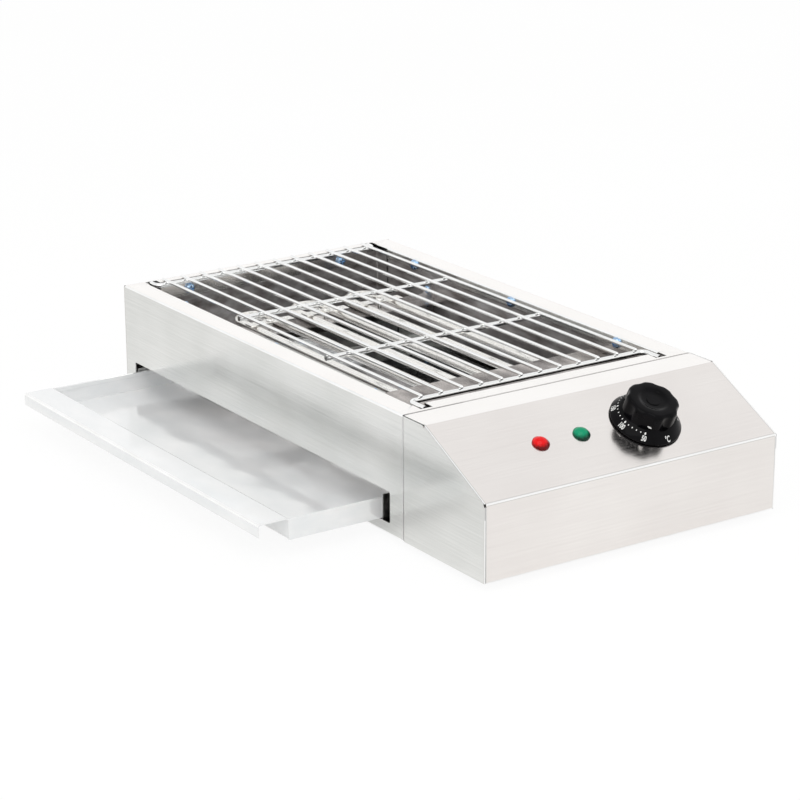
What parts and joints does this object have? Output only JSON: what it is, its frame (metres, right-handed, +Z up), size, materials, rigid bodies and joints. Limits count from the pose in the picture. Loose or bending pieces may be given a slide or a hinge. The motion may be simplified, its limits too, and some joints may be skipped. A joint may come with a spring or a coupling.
{
  "type": "electric fish roaster",
  "caption": "Folded stainless electric fish roaster: open wire grate over hairpin elements, drip tray sliding out of the side, sloped control box with a knob and pilot lamps.",
  "frame": {"origin": "middle of the footprint, on the surface the rubber feet stand on", "axes": "+Y to the rear along the body, +Z up, -X the side the drip tray slides out of"},
  "size_m": [0.403, 0.548, 0.1182],
  "materials": {
    "stainless": "brushed, fine straight grain",
    "lining": "polished, reflective, slightly heat-tinted",
    "plate": "mill finish sheet",
    "wire_chrome": "bright polished wire",
    "element_sheath": "bright satin sheath",
    "zinc": "blue bright zinc plating",
    "ceramic": "unglazed ceramic",
    "phenolic": "glossy black heat-resisting moulding",
    "lens_red": "glossy translucent red",
    "lens_green": "glossy translucent green",
    "nylon_black": "satin black nylon",
    "nylon_white": "satin white",
    "rubber": "matt black rubber",
    "brass": "plain brass",
    "copper": "plain copper",
    "lead_red": "silicone insulation",
    "lead_blue": "silicone insulation",
    "lead_green": "silicone insulation",
    "lead_white": "silicone insulation"
  },
  "bodies": {
    "body": {"side_panel_left": "stainless", "side_panel_right": "stainless", "bulkhead": "stainless", "rear_panel": "stainless", "control_cover": "stainless", "bottom_plate": "plate", "control_base": "plate", "rubber_feet": "rubber", "foot_screws": "zinc", "plate_screws": "zinc", "liner_left": "lining", "liner_right": "lining", "liner_rear": "lining", "liner_bolts": "zinc", "element_cover": "lining", "heating_element_1": "element_sheath", "heating_element_2": "element_sheath", "heating_element_3": "element_sheath", "element_collars": "brass", "collar_nuts": "zinc", "element_beads": "ceramic", "element_pins": "zinc", "link_live": "plate", "link_neutral": "plate", "pin_nuts": "zinc", "element_support": "lining", "element_straps": "plate", "strap_screws": "zinc", "support_bolts": "zinc", "grate_rests": "plate", "runner_front": "plate", "runner_rear": "plate", "drawer_stop": "plate", "thermostat_body": "nylon_white", "thermostat_screws": "zinc", "lamp_lens_red": "lens_red", "lamp_lens_green": "lens_green", "lamp_bodies": "nylon_black", "lamp_nuts": "nylon_black", "sensor_bulb": "copper", "sensor_tube": "copper", "bulb_clips": "plate", "terminal_block": "ceramic", "terminal_clamps": "brass", "earth_stud": "zinc", "cable_gland": "nylon_black", "gland_nut": "nylon_black", "leads_live": "lead_red", "lead_neutral": "lead_blue", "lead_earth": "lead_green", "leads_lamps": "lead_white"},
    "drawer": {"drip_tray": "stainless"},
    "knob_group": {"knob": "phenolic", "thermostat_spindle": "zinc"},
    "grate": {"grate_wires": "wire_chrome", "grate_bar_front": "wire_chrome", "grate_bar_rear": "wire_chrome", "grate_bar_middle_front": "wire_chrome", "grate_bar_middle_rear": "wire_chrome"}
  },
  "joints": [
    {"name": "drawer_slide", "type": "slide", "parent": "body", "child": "drawer", "axis": [-1, 0, 0], "range_m": [-0.083, 0.125]},
    {"name": "knob_turn", "type": "hinge", "parent": "body", "child": "knob_group", "pos_m": [0.0878, -0.23498, 0.08813], "axis": [0, -0.4495, 0.8933], "range_deg": [-270, 0]},
    {"name": "grate_lift", "type": "slide", "parent": "body", "child": "grate", "axis": [0, 0, 1], "range_m": [0, 0.12]}
  ]
}
